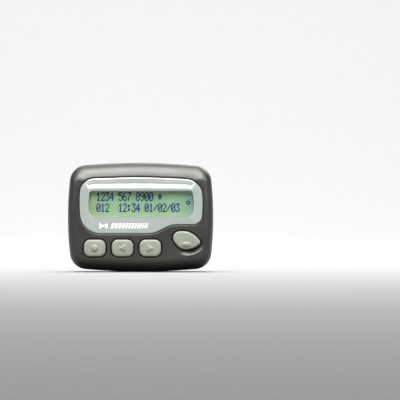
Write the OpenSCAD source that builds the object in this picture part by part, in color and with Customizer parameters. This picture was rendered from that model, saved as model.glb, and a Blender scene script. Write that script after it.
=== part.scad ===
// Two-line message pager: a hand-size belt receiver with a display, four push keys,
// one AAA cell behind a sliding door, and a spring belt clip on a slide-off carrier.
//
// Every module draws in the case frame: X to the right of the display, Y up the case from
// its lower edge, Z out of the display from the case's back. stand() sets it upright.

/* [Case] */
// Width of the case
case_w = 72; // [71:0.5:74]
// Height of the case
case_h = 54; // [54:0.5:56]
// Depth of the case, back to front face
case_d = 18; // [18:0.25:19]
// Thickness of the moulded walls
wall = 1.6; // [1.4:0.1:1.6]
// Radius of the case's four corners
corner_r = 8.5; // [8:0.25:9]
// Radius of the bowed left and right edges
side_r = 175; // [150:5:220]
// Radius of the bowed top and bottom edges
top_r = 300; // [280:10:340]
// Width of the flat on the lower edge, which the case stands on
foot_w = 18; // [14:1:20]
// How far the rounded front edge reaches in over the face
front_round = 5.5; // [5:0.25:6]
// How far the rounded back edge reaches in over the back
back_round = 3; // [2.5:0.25:3]
// Height of the parting line above the back
split_z = 9.5; // [9.25:0.25:9.75]

/* [Display] */
// How far the bezel stands proud of the face
bezel_proud = 0.7; // [0.5:0.1:0.8]
// Depth of the bezel's seat below the face
bezel_seat = 1; // [0.9:0.1:1.1]

/* [Keys] */
// Width of a small key
key_w = 10.6; // [10:0.2:11]
// Height of a small key
key_h = 8.4; // [8:0.2:9]
// Spacing of the small keys
key_pitch = 13.7; // [13:0.1:14]
// How far the keys stand proud of the face
key_proud = 1; // [0.8:0.1:1.2]
// Gap between a key and the edge of its hole
key_gap = 0.35; // [0.3:0.05:0.4]

/* [Battery] */
// Diameter of the AAA cell
cell_d = 10.3; // [10:0.1:10.3]
// Length of the AAA cell, terminal included
cell_l = 44.2; // [43.8:0.1:44.2]

/* [Belt clip] */
// Width of the clip carrier
carrier_w = 22; // [21:0.5:24]
// Clear thickness of belt that the clip takes
belt_gap = 4.6; // [4.5:0.1:5]
// Diameter of the clip's hinge pin
pin_d = 2; // [1.9:0.1:2]

/* [Hidden] */

$fn = 48;
slice = 0.01;         // thickness of the slices that a rounded form is hulled from
arc_steps = 7;        // flats along each edge and corner
round_steps = 6;      // slices in a rounded edge
more = 1;             // how far a cutter runs past the surface that it cuts
mid_y = case_h / 2;

// --- depths, from the back of the case outwards ---
board_z = 12.6;                      // back of the circuit board
board_t = 0.8;
board_top = board_z + board_t;
ceiling = case_d - wall;             // inside of the front face
bezel_z = case_d - bezel_seat;
bezel_top = case_d + bezel_proud;
symbol_h = 0.25;
key_top = case_d + key_proud;
flange_t = 0.8;
flange_top = ceiling - 0.1;
flange_z = flange_top - flange_t;
dome_top = board_top + 1.6;
pill_t = 0.3;
pill_z = board_top + 0.8;
pad_t = 0.1;
membrane_t = 0.6;

// --- belt clip, behind the back ---
rail_neck = 0.9;                     // standoff of the rail's head
rail_t = 0.8;
rail_y = [16, 42];
carrier_y = [5, 50];
carrier_z = -0.2;                    // face of the carrier towards the case
carrier_back = -2.7;
lever_z = carrier_back - belt_gap;   // inside face of the lever
lever_t = 1.6;
clip_back = lever_z - lever_t;
hinge_y = 45.5;
hinge_z = -5.2;
knuckle_r = 2;
pin_play = 0.05;

// The upright part stands centred over its origin, front to back.
back_y = (key_top + symbol_h + clip_back) / 2;

// --- keys: [x, y] of each small key, and of the large key's dome ---
key_y = 11.7;
key_x = [-22.5, -22.5 + key_pitch, -22.5 + 2 * key_pitch];
read_dome = [22.4, 15.6];
dome_r = 3.2;

// --- fasteners: x of the two columns, y of the two rows ---
screw_at = [[-29.2, 6.8], [-29.2, 47.2], [16.3, 5.3], [16.3, 48.7]];
screw_r = 0.8;
head_r = 1.6;
head_z = 1.1;
head_t = 1.1;
boss_r = 1.9;
post_r = 2.8;

// --- battery bay on the right, as seen from the front ---
cell_x = 25.6;
cell_z = 6.95;
cell_y = 6.1;
nub_l = 0.9;
door_x = [19.7, 31.5];
door_y = 4.6;
door_t = 1.3;
bay_x = [20.3, 30.9];

// --- outline of the case ---

function unit(v) = v / norm(v);

// Where two circles cross, on the side that faces up and right.
function meet(a, ra, b, rb) =
  let (d = norm(b - a), u = (b - a) / d, s = (ra * ra - rb * rb + d * d) / (2 * d))
  a + s * u + sqrt(ra * ra - s * s) * [-u.y, u.x];

function arc(c, r, from, to, steps) =
  [for (i = [0 : steps - 1]) let (a = from + (to - from) * i / steps) c + r * [cos(a), sin(a)]];

side_c = [case_w / 2 - side_r, 0];
top_c = [0, case_h / 2 - top_r];
corner_c = meet(side_c, side_r - corner_r, top_c, top_r - corner_r);
side_a = atan2(corner_c.y, corner_c.x - side_c.x);
top_a = atan2(corner_c.y - top_c.y, corner_c.x);
foot_a = 2 * atan(foot_w / 2 / top_r); // where the lines from the foot's ends touch the bow

// Bowed rectangle with round corners and a flat foot, inset all round; its arcs stay tangent.
function case_outline(inset) = [
  for (p = [
    each arc(side_c, side_r - inset, -side_a, side_a, arc_steps),
    each arc(corner_c, corner_r - inset, side_a, top_a, arc_steps),
    each arc(top_c, top_r - inset, top_a, 180 - top_a, arc_steps),
    each arc([-corner_c.x, corner_c.y], corner_r - inset, 180 - top_a, 180 - side_a, arc_steps),
    each arc(-side_c, side_r - inset, 180 - side_a, 180 + side_a, arc_steps),
    each arc(-corner_c, corner_r - inset, 180 + side_a, 180 + top_a, arc_steps),
    each arc(-top_c, top_r - inset, 180 + top_a, 270 - foot_a, 2),
    each arc(-top_c, top_r - inset, 270 - foot_a, 270, 1),
    [-foot_w / 2, inset - mid_y],
    [foot_w / 2, inset - mid_y],
    each arc(-top_c, top_r - inset, 270 + foot_a, 360 - top_a, 2),
    each arc([corner_c.x, -corner_c.y], corner_r - inset, 360 - top_a, 360 - side_a, arc_steps)
  ]) p + [0, mid_y]
];

// Polygon of [x, y, radius] corners, each corner turned into an arc.
function rounded(p, steps = 8) =
  let (n = len(p)) [
    for (i = [0 : n - 1])
      let (
        b = [p[i].x, p[i].y],
        before = p[(i + n - 1) % n],
        after = p[(i + 1) % n],
        u = unit([before.x, before.y] - b),
        v = unit([after.x, after.y] - b),
        half = acos(u * v) / 2,
        r = p[i][2],
        c = b + unit(u + v) * r / sin(half),
        t = b + u * r / tan(half) - c,
        turn = (180 - 2 * half) * sign(cross(-u, v)),
        start = atan2(t.y, t.x)
      )
      for (k = [0 : steps]) c + r * [cos(start + turn * k / steps), sin(start + turn * k / steps)]
  ];

bezel_outline = rounded([
  [-29.3, 18.95, 10], [6.6, 18.95, 13], [15.2, 23.4, 13], [30.3, 23.4, 4.8], [30.75, 34, 50],
  [30.05, 45.3, 8.5], [0.2, 46.65, 250], [-29.35, 45.7, 7.2], [-30.05, 35, 50]
]);
window_outline = rounded([
  [-24.9, 27.3, 2.8], [25.6, 27.3, 2.8], [26.7, 33.7, 12], [25.7, 40.1, 1.6],
  [-25, 40.1, 1.6], [-25.8, 33.7, 12]
]);

// Closed smooth curve through points.
function spline(p, steps) = let (n = len(p)) [
  for (i = [0 : n - 1])
    let (a = p[(i + n - 1) % n], b = p[i], c = p[(i + 1) % n], d = p[(i + 2) % n])
    for (k = [0 : steps - 1]) let (t = k / steps)
      (2 * b + (c - a) * t + (2 * a - 5 * b + 4 * c - d) * t * t + (3 * b - a - 3 * c + d) * t * t * t) / 2
];

leaf = [
  [16.15, 17.4], [16.25, 15.9], [17.25, 14.05], [19.15, 12.1], [21, 11.2], [22.9, 11], [24.95, 11.4],
  [26.95, 12.1], [28.55, 13.1], [29.45, 14.1], [29.5, 15.1], [28.85, 16], [27.1, 17.85],
  [23.8, 19.7], [20.75, 20.1], [18.5, 19.9], [16.9, 18.95]
];

// --- shared shapes ---

module stand() translate([0, back_y, 0]) rotate([90, 0, 0]) children();

module block(x, y, z) translate([x[0], y[0], z[0]]) cube([x[1] - x[0], y[1] - y[0], z[1] - z[0]]);

module prism(outline, z, h) translate([0, 0, z]) linear_extrude(h) polygon(outline);

module grown(outline, by, z, h)
  translate([0, 0, z]) linear_extrude(h) offset(delta = by) polygon(outline);

module post(at, r, z0, z1) translate([at.x, at.y, z0]) cylinder(r = r, h = z1 - z0);

module shaft(x0, x1, y, z, r) translate([x0, y, z]) rotate([0, 90, 0]) cylinder(r = r, h = x1 - x0);

// Front half of the case's solid form, with its broad rounded edge.
module front_form(inset, top, round = front_round, rise = 7) {
  hull() {
    prism(case_outline(inset), split_z, top - rise - split_z);
    for (i = [1 : round_steps]) let (a = 90 * i / round_steps)
      prism(case_outline(inset + round * (1 - cos(a))), top - rise * (1 - sin(a)) - slice, slice);
  }
}

// Back half of the case's solid form.
module back_form(inset, bottom) {
  rise = 4;
  hull() {
    prism(case_outline(inset), bottom + rise, split_z - bottom - rise);
    for (i = [1 : round_steps]) let (a = 90 * i / round_steps)
      prism(case_outline(inset + back_round * (1 - cos(a))), bottom + rise * (1 - sin(a)), slice);
  }
}

module small_key_2d(grow = 0)
  polygon(rounded([for (s = [[-1, -1], [1, -1], [1, 1], [-1, 1]])
    [s.x * (key_w / 2 + grow), s.y * (key_h / 2 + grow), 3 + grow]], 6));

// Large key: a rounded leaf, blunt at the left and pointed at the right.
module read_key_2d(grow = 0) offset(delta = grow) polygon(spline(leaf, 4));

// --- case ---

module front_housing() color([0.28, 0.28, 0.27]) {
  nose_z = split_z + 0.1;
  lip_t = 0.7;
  difference() {
    union() {
      difference() {
        front_form(0, case_d);
        translate([0, 0, -slice]) front_form(wall, ceiling + slice, 3.8, 5.5);
      }
      // seat under the bezel, thicker than the wall
      intersection() {
        grown(bezel_outline, 0.9, ceiling - 0.8, 1.2);
        front_form(wall / 2, case_d);
      }
      intersection() {
        for (p = screw_at) post(p, boss_r, nose_z, case_d);
        front_form(wall / 2, case_d - wall / 2);
      }
      // locating lip, rooted in the wall, that drops inside the back half's wall
      difference() {
        union() {
          prism(case_outline(wall + 0.05), split_z - 0.9, 1);
          prism(case_outline(wall - 0.1), split_z, 1.1);
        }
        prism(case_outline(wall + lip_t), split_z - 2, 4);
      }
    }
    grown(bezel_outline, 0.15, bezel_z, 3);
    grown(window_outline, 0.7, ceiling - 2, 4);
    for (x = key_x) translate([x, key_y, ceiling - more]) linear_extrude(4) small_key_2d(key_gap);
    translate([0, 0, ceiling - more]) linear_extrude(4) read_key_2d(key_gap);
    // the lip stops short of the battery bay and the screw posts
    block([18.4, 28], [3.1, 50.9], [split_z - 1.2, split_z + 1.3]);
    block([18.4, 30.8], [5.9, 49.4], [split_z - 1.2, split_z + 1.3]);
    for (p = screw_at) post(p, post_r + 0.15, split_z - 1.2, split_z + 0.05);
    // thumb scoop beside the large key
    translate([26, 12.8, case_d + 11.1]) sphere(r = 12, $fn = 64);
    for (p = screw_at) post(p, screw_r, split_z, board_top + 2);
  }
}

module rear_housing() color([0.22, 0.22, 0.22]) {
  tongue = 0.6;
  rib_x = [18.9, 19.9];
  difference() {
    union() {
      difference() {
        back_form(0, 0);
        translate([0, 0, slice]) back_form(wall, wall);
      }
      intersection() {
        for (p = screw_at) post(p, post_r, 0, board_z - 0.05);
        prism(case_outline(wall / 2), 0, board_z);
        back_form(wall / 4, wall / 4);
      }
      // wall between the battery bay and the electronics
      block(rib_x, [3.4, 50.6], [wall / 2, board_z - 0.1]);
      // ledge on which the right edge of the door rests
      block([bay_x[1] + 0.1, 33.4], [8, 46], [0.4, 2.8]);
      // rail for the clip carrier
      block([-3, 3], rail_y, [-rail_neck - rail_t / 2, wall / 2]);
      block([-5, 5], rail_y, [-rail_neck - rail_t, -rail_neck]);
    }
    // battery door's place, open at the top so that the door slides out
    block([door_x[0] - 0.15, door_x[1] + 0.15], [door_y - 0.15, case_h + more], [-more, door_t + 0.1]);
    block([door_x[0] - tongue - 0.15, door_x[1] + tongue + 0.15], [9.8, case_h + more], [0.6, door_t + 0.1]);
    // mouth of the bay
    block([bay_x[0], bay_x[1]], [5.8, 50.2], [0, 3]);
    // notch through which the lock's tongue leaves with the door
    block([27.8, 31], [44, case_h + more], [0, 2.15]);
    // pocket that takes the lock's tongue
    block([bay_x[1] - more, 33.1], [10.3, 14.9], [door_t, 2.2]);
    for (p = screw_at) {
      post(p, boss_r + 0.1, split_z, board_z + more);
      post(p, screw_r + 0.2, 0, board_z);
      post(p, head_r + 0.15, -more, head_z + head_t);
    }
    // sound slots over the buzzer
    for (i = [-2 : 2]) block([-26, -18], [12 + i * 1.8 - 0.4, 12 + i * 1.8 + 0.4], [-more, wall + more]);
    // shallow recess for the label
    prism(rounded([[-31, 22, 1.2], [-14, 22, 1.2], [-14, 46, 1.2], [-31, 46, 1.2]], 4), -more, more + 0.25);
  }
}

module bezel() color([0.7, 0.73, 0.72]) difference() {
  centre = [0.4, 32.8];
  union() {
    prism(bezel_outline, bezel_z + 0.02, bezel_seat);
    translate([centre.x, centre.y, bezel_z + 0.02 + bezel_seat - slice])
      linear_extrude(bezel_proud, scale = [0.965, 0.92]) translate(-centre) polygon(bezel_outline);
  }
  grown(window_outline, 0, bezel_z - more, 4);
}

module display_window() color([0.85, 0.9, 0.88, 0.4])
  grown(window_outline, 0.55, bezel_z - 0.7, 0.7);

module case_screws() color([0.75, 0.75, 0.78]) for (p = screw_at) difference() {
  union() {
    post(p, head_r, head_z, head_z + head_t);
    post(p, screw_r - 0.02, head_z + head_t - slice, board_top);
  }
  for (a = [0, 90]) translate([p.x, p.y, head_z]) rotate([0, 0, a]) cube([2, 0.45, 1.1], center = true);
}

module rating_label() color([0.82, 0.83, 0.82])
  prism(rounded([[-30.7, 22.3, 1], [-14.3, 22.3, 1], [-14.3, 45.7, 1], [-30.7, 45.7, 1]], 4), 0.05, 0.18);

// --- keys ---

module key_cap(at) {
  crown = 0.6;
  translate([at.x, at.y, 0]) {
    hull() {
      translate([0, 0, flange_top - 0.3]) linear_extrude(key_top - crown - flange_top + 0.3) small_key_2d();
      translate([0, 0, key_top - slice]) linear_extrude(slice) small_key_2d(-0.6);
    }
    translate([0, 0, flange_z]) linear_extrude(flange_t) small_key_2d(0.6);
    translate([0, 0, dome_top]) cylinder(r = 1.8, h = flange_z - dome_top + 0.1);
  }
}

module raised_arrow(at, turn) translate([at.x, at.y, key_top - 0.05]) rotate([0, 0, turn])
  linear_extrude(symbol_h + 0.05) polygon([[1.7, 0], [-1.6, 1.6], [-1.6, -1.6]]);

module key_select() color([0.66, 0.67, 0.62]) {
  key_cap([key_x[0], key_y]);
  post([key_x[0], key_y], 1.6, key_top - 0.05, key_top + symbol_h);
}

module key_left() color([0.66, 0.67, 0.62]) {
  key_cap([key_x[1], key_y]);
  raised_arrow([key_x[1], key_y], 180);
}

module key_right() color([0.66, 0.67, 0.62]) {
  key_cap([key_x[2], key_y]);
  raised_arrow([key_x[2], key_y], 0);
}

module key_read() color([0.66, 0.67, 0.62]) {
  hull() {
    translate([0, 0, flange_top - 0.3]) linear_extrude(key_top - 0.6 - flange_top + 0.3) read_key_2d();
    translate([0, 0, key_top - slice]) linear_extrude(slice) read_key_2d(-0.6);
  }
  translate([0, 0, flange_z]) linear_extrude(flange_t) read_key_2d(0.6);
  post(read_dome, 1.8, dome_top, flange_z + 0.1);
  // raised oval near the lower edge
  translate([22.7, 13.5, key_top - 0.05]) linear_extrude(symbol_h + 0.05) scale([1.8, 1]) circle(r = 1.3);
}

module pill(at) color([0.1, 0.1, 0.1]) post(at, 1.5, pill_z, pill_z + pill_t);

// Silicone return dome: a thin cone from the membrane up to the key's stem.
module dome(at) color([0.78, 0.78, 0.74]) translate([at.x, at.y, board_top]) rotate_extrude()
  polygon([
    [dome_r, 0], [dome_r, membrane_t], [2, 1.6], [0, 1.6],
    [0, 0.8 + pill_t], [1.7, 0.8 + pill_t], [2.7, 0.2], [2.7, 0]
  ]);

module key_membrane() color([0.78, 0.78, 0.74]) difference() {
  translate([0, 0, board_top]) linear_extrude(membrane_t)
    polygon(rounded([[-29, 6.4, 2], [12.5, 6.4, 2], [16, 9.6, 3], [30, 9.6, 4], [30, 21, 3], [-29, 21, 2]], 5));
  for (p = concat([for (x = key_x) [x, key_y]], [read_dome])) post(p, dome_r, board_top - more, board_top + 2);
  for (p = screw_at) post(p, boss_r + 0.3, board_top - more, board_top + 2);
}

// Each key's contact: two half discs, bridged by the carbon pill.
module contact_pads() color([0.85, 0.7, 0.3])
  for (p = concat([for (x = key_x) [x, key_y]], [read_dome])) difference() {
    post(p, 1.9, board_top, board_top + pad_t);
    block([p.x - 0.2, p.x + 0.2], [p.y - 3, p.y + 3], [board_top - more, board_top + more]);
  }

// --- electronics ---

module circuit_board() color([0.1, 0.35, 0.2]) difference() {
  prism(case_outline(wall + 0.9), board_z, board_t);
  for (p = screw_at) post(p, boss_r + 0.1, board_z - more, board_z + 2);
}

lcd_x = [-27.2, 28.1];
lcd_y = [25.5, 41.9];
strip = 1.7;        // width left along each long edge for a zebra strip

module lcd_frame() color([0.85, 0.85, 0.82]) difference() {
  block([lcd_x[0] - 1.2, lcd_x[1] + 1.2], [lcd_y[0] - 1.2, lcd_y[1] + 1.2], [board_top, board_top + 2]);
  block([lcd_x[0] - 0.1, lcd_x[1] + 0.1], [lcd_y[0] - 0.1, lcd_y[1] + 0.1], [board_top - more, ceiling]);
}

module lcd_backlight() color([0.9, 0.95, 0.85])
  block(lcd_x, [lcd_y[0] + strip, lcd_y[1] - strip], [board_top + 0.1, board_top + 0.7]);

module lcd_rear_glass() color([0.55, 0.7, 0.5])
  block(lcd_x, [lcd_y[0] + strip, lcd_y[1] - strip], [board_top + 0.7, board_top + 1.2]);

module lcd_front_glass() color([0.6, 0.75, 0.55, 0.6])
  block(lcd_x, lcd_y, [board_top + 1.2, board_top + 1.7]);

module lcd_polariser() color([0.5, 0.62, 0.45])
  block([lcd_x[0] + 0.8, lcd_x[1] - 0.8], [lcd_y[0] + 0.8, lcd_y[1] - 0.8], [board_top + 1.7, board_top + 1.85]);

module zebra_strips() color([0.85, 0.45, 0.5])
  for (y = [lcd_y[0], lcd_y[1] - strip + 0.2])
    block([lcd_x[0] + 1, lcd_x[1] - 1], [y, y + strip - 0.2], [board_top, board_top + 1.2]);

motor_y = 43.5;
motor_z = 8.2;
motor_r = 3;
motor_x = [-25, -14];

module vibration_motor() color([0.75, 0.75, 0.77]) difference() {
  shaft(motor_x[0], motor_x[1], motor_y, motor_z, motor_r);
  shaft(motor_x[1] - 2.5, motor_x[1] + more, motor_y, motor_z, 0.55);
}

module motor_boot() color([0.15, 0.15, 0.15]) difference() {
  block([motor_x[0] + 1, motor_x[1] - 1.5], [motor_y - 3.9, motor_y + 3.9], [motor_z - 3.9, board_z - 0.02]);
  shaft(-30, -10, motor_y, motor_z, motor_r + 0.02);
}

module motor_shaft() color([0.8, 0.8, 0.8]) shaft(motor_x[1] - 2.2, motor_x[1] + 5, motor_y, motor_z, 0.5);

// Half-round tungsten weight, heavy side down.
module eccentric_weight() color([0.6, 0.6, 0.6]) difference() {
  shaft(motor_x[1] + 0.8, motor_x[1] + 4.8, motor_y, motor_z, 2.8);
  block([motor_x[1], motor_x[1] + 6], [motor_y + 0.9, motor_y + 4], [motor_z - 4, motor_z + 4]);
  shaft(motor_x[1], motor_x[1] + 6, motor_y, motor_z, 0.502);
}

module buzzer() color([0.12, 0.12, 0.12]) difference() {
  post([-22, 12], 6, board_z - 5.4, board_z);
  post([-22, 12], 1.2, board_z - 5.4 - more, board_z - 4);
}

// Receiving loop: a flat metal strip bent into a rectangle on the board's back.
module loop_antenna() color([0.8, 0.65, 0.35]) difference() {
  block([-8, 13], [33, 46], [board_z - 6, board_z]);
  block([-7.5, 12.5], [33.5, 45.5], [board_z - 7, board_z + more]);
  block([-1, 0.5], [32, 34], [board_z - 7, board_z + more]);
}

module rf_shield() color([0.78, 0.78, 0.76]) difference() {
  block([-8, 12], [8, 24], [board_z - 3.4, board_z]);
  block([-7.7, 11.7], [8.3, 23.7], [board_z - 3.1, board_z + more]);
}

module processor_chip() color([0.08, 0.08, 0.08]) block([-26, -15], [22, 33], [board_z - 1.6, board_z]);

module crystal() color([0.8, 0.8, 0.78])
  hull() for (x = [-12.6, -9.6]) post([x, 28.5], 1.6, board_z - 3.2, board_z);

module capacitors() color([0.75, 0.6, 0.4]) {
  for (i = [0 : 4]) block([-5 + i * 3, -3.4 + i * 3], [27, 28], [board_z - 0.9, board_z]);
  post([12.5, 29], 2, board_z - 5, board_z);
}

// --- battery ---

module cell_can() color([0.2, 0.35, 0.6])
  translate([cell_x, cell_y, cell_z]) rotate([-90, 0, 0]) cylinder(d = cell_d, h = cell_l - nub_l);

module cell_terminal() color([0.8, 0.8, 0.8])
  translate([cell_x, cell_y + cell_l - nub_l, cell_z]) rotate([-90, 0, 0]) cylinder(r = 1.9, h = nub_l);

module battery_plate() color([0.8, 0.78, 0.7])
  block([cell_x - 3, cell_x + 2], [cell_y + cell_l, cell_y + cell_l + 0.3], [3.5, board_z]);

// Tube of 8 sides along a list of points.
module wire(path, r) {
  sides = 8;
  n = len(path);
  rings = [
    for (i = [0 : n - 1])
      let (
        along = unit(path[min(i + 1, n - 1)] - path[max(i - 1, 0)]),
        side = unit(cross(along, [0.31, 0.17, 0.93])),
        up = cross(along, side)
      )
      for (k = [0 : sides - 1]) path[i] + r * (cos(360 * k / sides) * side + sin(360 * k / sides) * up)
  ];
  polyhedron(
    points = rings,
    faces = concat(
      [[for (k = [0 : sides - 1]) k]],
      [[for (k = [sides - 1 : -1 : 0]) (n - 1) * sides + k]],
      [for (i = [0 : n - 2], k = [0 : sides - 1])
        let (a = i * sides + k, b = i * sides + (k + 1) % sides) each [[a, a + sides, b], [b, a + sides, b + sides]]]
    )
  );
}

// Conical contact spring, standing on its plate.
module battery_spring() color([0.8, 0.8, 0.78]) {
  turns = 3;
  steps = 14 * turns;
  foot = cell_y - 2.6;
  wire_r = 0.25;
  wire([
    for (i = [0 : steps])
      let (t = i / steps, a = 360 * turns * t, r = 3 - 1.2 * t)
      [cell_x + r * cos(a), foot + wire_r + (2.6 - 2 * wire_r) * t, cell_z + r * sin(a)]
  ], wire_r);
  block([cell_x - 3, cell_x + 2], [foot - 0.3, foot + 0.05], [3.5, board_z]);
}

module battery_door() color([0.2, 0.2, 0.2]) difference() {
  union() {
    intersection() {
      back_form(0, 0);
      block(door_x, [door_y, case_h], [-more, door_t]);
    }
    block([door_x[0] - 0.6, door_x[1] + 0.6], [10, 44], [0.75, door_t]);
  }
  // slot for the lock's stem
  block([27.9, 30.9], [11.4, 13.8], [-more, door_t + more]);
  // grip lines
  for (i = [0 : 4]) block([22.2, 29], [41 + i * 1.5, 41.6 + i * 1.5], [-more, 0.3]);
}

module battery_lock() color([0.3, 0.3, 0.3]) {
  block([25.8, 30.8], [11, 14.2], [-0.75, -0.05]);
  block([28, 29.2], [11.6, 13.6], [-0.1, door_t + 0.1]);
  block([28, 30.6], [10.6, 14.6], [door_t + 0.05, door_t + 0.65]);
}

// --- belt clip ---

ear_x = [8, 10.2];
lever_x = [5.2, 7.8];

module clip_carrier() color([0.16, 0.16, 0.16]) difference() {
  union() {
    prism(rounded([[-carrier_w / 2, carrier_y[0], 3], [carrier_w / 2, carrier_y[0], 3],
      [carrier_w / 2, carrier_y[1], 3], [-carrier_w / 2, carrier_y[1], 3]], 5), carrier_back, carrier_z - carrier_back);
    for (s = [-1, 1]) {
      x = s > 0 ? ear_x : [-ear_x[1], -ear_x[0]];
      shaft(x[0], x[1], hinge_y, hinge_z, knuckle_r);
      block(x, [hinge_y - knuckle_r, hinge_y + knuckle_r], [hinge_z, carrier_back + 0.5]);
    }
  }
  // slot that runs on the case's rail, open at its lower end
  block([-3.2, 3.2], [0, rail_y[1] + 0.2], [-0.75 - slice, 1]);
  block([-5.2, 5.2], [0, rail_y[1] + 0.2], [-1.85, -0.75]);
  shaft(-20, 20, hinge_y, hinge_z, pin_d / 2 + 0.02);
}

module clip_lever() color([0.16, 0.16, 0.16]) difference() {
  union() {
    prism(rounded([[-8, 2, 5], [8, 2, 5], [9.5, 20, 60], [9.5, 52, 3], [-9.5, 52, 3], [-9.5, 20, 60]], 6), clip_back, lever_t);
    for (s = [-1, 1]) {
      x = s > 0 ? lever_x : [-lever_x[1], -lever_x[0]];
      shaft(x[0], x[1], hinge_y, hinge_z, knuckle_r);
      block(x, [hinge_y - knuckle_r, hinge_y + knuckle_r], [lever_z - 0.5, hinge_z]);
    }
    // tooth that keeps the belt in
    translate([-7, 7.5, 0]) rotate([90, 0, 90]) linear_extrude(14)
      polygon([[-1.8, lever_z - 0.5], [-0.9, carrier_back - 0.4], [0.4, carrier_back - 0.4], [2.4, lever_z - 0.5]]);
  }
  shaft(-20, 20, hinge_y, hinge_z, pin_d / 2 + pin_play);
  for (i = [0 : 3]) block([-6, 6], [46.2 + i * 1.3, 46.8 + i * 1.3], [clip_back - more, clip_back + 0.35]);
}

module clip_pin() color([0.8, 0.8, 0.82]) shaft(-10.2, 10.2, hinge_y, hinge_z, pin_d / 2);

// Torsion spring: one leg lies on the carrier, the other on the lever.
module clip_spring() color([0.75, 0.75, 0.78]) {
  wire_r = 0.3;
  turns = 5;
  steps = 12 * turns;
  coil_r = 1.75;
  half = 4;
  wire(concat(
    [[-half, hinge_y - 8, carrier_back - 0.35], [-half, hinge_y - 3, hinge_z + coil_r]],
    [for (i = [0 : steps])
      let (t = i / steps, a = 90 + 360 * (turns + 0.5) * t)
      [-half + 2 * half * t, hinge_y + coil_r * cos(a), hinge_z + coil_r * sin(a)]],
    [[half, hinge_y - 3, hinge_z - coil_r], [half, hinge_y - 8, lever_z + 0.35]]
  ), wire_r);
}

stand() front_housing();
stand() rear_housing();
stand() bezel();
stand() display_window();
stand() key_select();
stand() key_left();
stand() key_right();
stand() key_read();
stand() pill([key_x[0], key_y]);  // pill_select
stand() pill([key_x[1], key_y]);  // pill_left
stand() pill([key_x[2], key_y]);  // pill_right
stand() pill(read_dome);  // pill_read
stand() dome([key_x[0], key_y]);  // dome_select
stand() dome([key_x[1], key_y]);  // dome_left
stand() dome([key_x[2], key_y]);  // dome_right
stand() dome(read_dome);  // dome_read
stand() key_membrane();
stand() contact_pads();
stand() circuit_board();
stand() lcd_frame();
stand() lcd_front_glass();
stand() lcd_rear_glass();
stand() lcd_polariser();
stand() lcd_backlight();
stand() zebra_strips();
stand() vibration_motor();
stand() motor_boot();
stand() motor_shaft();
stand() eccentric_weight();
stand() buzzer();
stand() loop_antenna();
stand() rf_shield();
stand() processor_chip();
stand() crystal();
stand() capacitors();
stand() cell_can();
stand() cell_terminal();
stand() battery_spring();
stand() battery_plate();
stand() battery_door();
stand() battery_lock();
stand() clip_carrier();
stand() clip_lever();
stand() clip_pin();
stand() clip_spring();
stand() case_screws();
stand() rating_label();
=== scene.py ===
import math

import bmesh
import bpy
import numpy as np
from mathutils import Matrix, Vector
from mathutils.bvhtree import BVHTree
from mathutils.geometry import delaunay_2d_cdt

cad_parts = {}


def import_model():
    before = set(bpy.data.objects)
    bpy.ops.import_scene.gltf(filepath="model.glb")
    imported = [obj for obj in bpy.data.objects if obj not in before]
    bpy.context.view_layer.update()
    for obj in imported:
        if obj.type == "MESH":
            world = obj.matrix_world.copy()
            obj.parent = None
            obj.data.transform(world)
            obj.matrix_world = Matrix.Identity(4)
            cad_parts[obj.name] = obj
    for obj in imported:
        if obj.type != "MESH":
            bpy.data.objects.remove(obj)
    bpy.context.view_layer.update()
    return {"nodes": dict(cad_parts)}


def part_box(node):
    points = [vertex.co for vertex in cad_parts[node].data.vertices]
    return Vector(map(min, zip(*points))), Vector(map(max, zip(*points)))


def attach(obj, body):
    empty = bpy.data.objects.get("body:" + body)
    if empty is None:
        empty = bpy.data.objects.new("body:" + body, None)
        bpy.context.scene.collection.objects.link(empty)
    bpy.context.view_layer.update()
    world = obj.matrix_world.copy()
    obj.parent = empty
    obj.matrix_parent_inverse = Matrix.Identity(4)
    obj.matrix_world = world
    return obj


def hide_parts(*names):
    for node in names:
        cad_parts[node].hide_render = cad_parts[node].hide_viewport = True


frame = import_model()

# Everything below is drawn in the case frame, in millimetres: x to the right of the
# display, y up the case, z out of the display from the back of the case.

MM = 0.001
FACE = 18.0        # z of the case's front face
SEAT_Z = 17.0      # z of the recess that the bezel sits in
CEILING = 16.4     # z of the inside of the front wall
SPLIT = 9.5        # z of the parting line
WALL = 1.6         # thickness of the side walls and of the back
BACK_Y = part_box("front_housing")[0].y / MM + FACE
NO_POINTS = np.zeros((0, 2))


def world(p):
    """A point of the case frame, as a place in the scene."""
    return (p[0] * MM, (BACK_Y - p[2]) * MM, p[1] * MM)


# ---------------- outlines

CASE_W, CASE_H, CORNER_R, SIDE_R, TOP_R = 72.0, 54.0, 8.5, 175.0, 300.0
FOOT = 9.0         # half the width of the flat that the case stands on
FOOT_BLEND = 2.0   # half the width of the bend at each end of that flat
MID = np.array([0.0, CASE_H / 2])


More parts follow.
